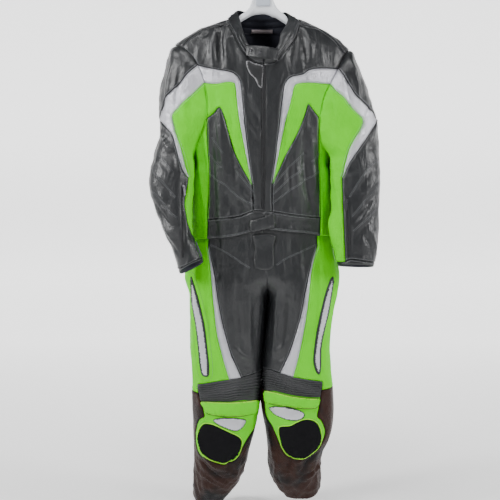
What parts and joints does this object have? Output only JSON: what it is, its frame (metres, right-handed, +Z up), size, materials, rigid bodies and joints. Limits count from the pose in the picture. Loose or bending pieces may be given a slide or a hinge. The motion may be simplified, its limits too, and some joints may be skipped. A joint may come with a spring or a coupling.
{
  "type": "motorcycle race suit on a hanger",
  "caption": "Two-piece leather race suit of jacket and trousers zipped together, in black, green and silver panels with knee pads, hanging on a moulded hanger with a hook",
  "frame": {"origin": "the inner top of the hanger's hook, where a rail holds it", "axes": "+Z up, -Y the front of the suit, +X to the viewer's right"},
  "size_m": [0.6325, 0.2667, 1.523],
  "materials": {
    "leather": "satin",
    "green": "satin",
    "silver": "satin",
    "stretch": "matt",
    "shin": "satin",
    "loop": "matt",
    "zip": "matt",
    "puller": "satin",
    "hanger": "satin"
  },
  "bodies": {
    "suit": {"hanger": "hanger", "collar": "leather", "collar_tab": "leather", "back_panel": "leather", "badge": "leather", "waist_tab": "leather", "fly": "leather", "front_zip": "zip", "front_center_left": "leather", "front_center_right": "leather", "front_lower_left": "leather", "front_lower_right": "leather", "waistband_left": "leather", "waistband_right": "leather", "shoulder_left": "leather", "shoulder_right": "leather", "sleeve_top_left": "leather", "sleeve_top_right": "leather", "sleeve_lower_left": "leather", "sleeve_lower_right": "leather", "sleeve_rear_left": "leather", "sleeve_rear_right": "leather", "cuff_left": "leather", "cuff_right": "leather", "leg_front_left": "leather", "leg_front_right": "leather", "chest_band_left": "silver", "chest_band_right": "silver", "sleeve_band_left": "silver", "sleeve_band_right": "silver", "leg_band_left": "silver", "leg_band_right": "silver", "thigh_patch_left": "silver", "thigh_patch_right": "silver", "chest_wedge_left": "green", "chest_wedge_right": "green", "side_panel_left": "green", "side_panel_right": "green", "sleeve_inner_left": "green", "sleeve_inner_right": "green", "leg_outer_left": "green", "leg_outer_right": "green", "knee_panel_left": "green", "knee_panel_right": "green", "knee_flap_left": "green", "knee_flap_right": "green", "knee_stretch_left": "stretch", "knee_stretch_right": "stretch", "leg_rear_left": "stretch", "leg_rear_right": "stretch", "shin_left": "shin", "shin_right": "shin", "knee_loop_left": "loop", "knee_loop_right": "loop", "forearm_zip_left": "zip", "forearm_zip_right": "zip", "forearm_slider_left": "puller", "forearm_slider_right": "puller"},
    "puller_left": {"forearm_puller_left": "puller"},
    "puller_right": {"forearm_puller_right": "puller"}
  },
  "joints": [
    {"name": "puller_left_swing", "type": "hinge", "parent": "suit", "child": "puller_left", "pos_m": [-0.21057, -0.10819, -0.59419], "axis": [-0.8371, -0.5467, -0.0203], "range_deg": [0, 150]},
    {"name": "puller_right_swing", "type": "hinge", "parent": "suit", "child": "puller_right", "pos_m": [0.22461, -0.1167, -0.63317], "axis": [-0.9548, 0.2945, -0.0414], "range_deg": [0, 150]}
  ]
}
